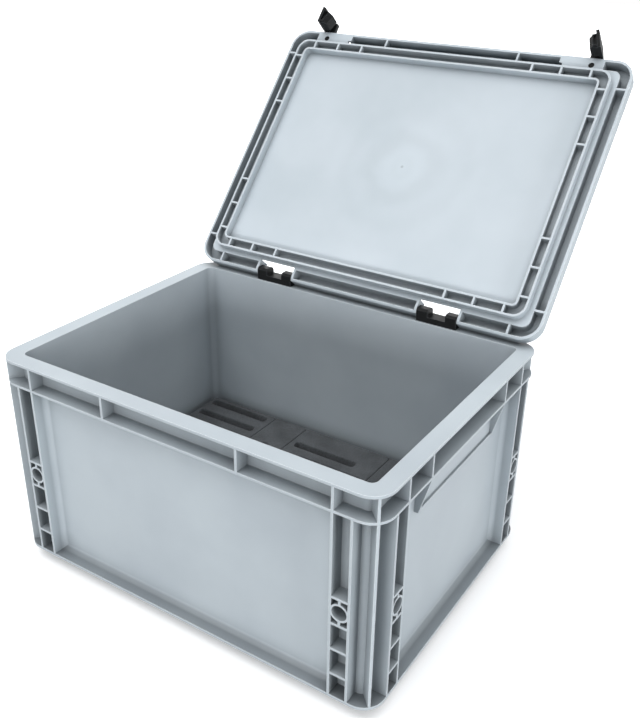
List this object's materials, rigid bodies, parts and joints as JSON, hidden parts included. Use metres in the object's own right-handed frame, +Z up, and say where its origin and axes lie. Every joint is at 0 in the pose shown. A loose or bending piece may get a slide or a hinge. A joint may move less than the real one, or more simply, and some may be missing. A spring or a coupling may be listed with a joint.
{
  "type": "phone storage box",
  "caption": "Moulded stacking crate with a hinged lid, turning clasps, ribbed corner columns, end grips and a slotted foam insert that holds phones upright.",
  "frame": {"origin": "centre of the crate's footprint, on the surface it stands on", "axes": "+Z up, +Y to the rear where the hinges are, +X to the right seen from the front"},
  "size_m": [0.4, 0.4989, 0.4821],
  "materials": {
    "grey_polypropylene": "satin",
    "black_nylon": "satin",
    "charcoal_foam": "matte"
  },
  "bodies": {
    "box": {"box_body": "grey_polypropylene", "hinge_clip_left": "black_nylon", "hinge_clip_right": "black_nylon", "foam_base": "charcoal_foam", "foam_left": "charcoal_foam", "foam_right": "charcoal_foam", "foam_strip_left": "charcoal_foam", "foam_strip_right": "charcoal_foam", "foam_middle_front": "charcoal_foam", "foam_middle_rear": "charcoal_foam"},
    "lid": {"lid": "grey_polypropylene"},
    "clasp_left": {"clasp_lever_left": "black_nylon", "clasp_stud_left": "black_nylon"},
    "clasp_right": {"clasp_lever_right": "black_nylon", "clasp_stud_right": "black_nylon"}
  },
  "joints": [
    {"name": "lid_hinge", "type": "hinge", "parent": "box", "child": "lid", "pos_m": [0, 0.144, 0.2283], "axis": [1, 0, 0], "range_deg": [0, 131.5]},
    {"name": "clasp_left_turn", "type": "hinge", "parent": "lid", "child": "clasp_left", "pos_m": [-0.156, 0.32939, 0.44615], "axis": [0, 0.749, -0.6626], "range_deg": [0, 70]},
    {"name": "clasp_right_turn", "type": "hinge", "parent": "lid", "child": "clasp_right", "pos_m": [0.156, 0.32939, 0.44615], "axis": [0, 0.749, -0.6626], "range_deg": [-70, 0]}
  ]
}
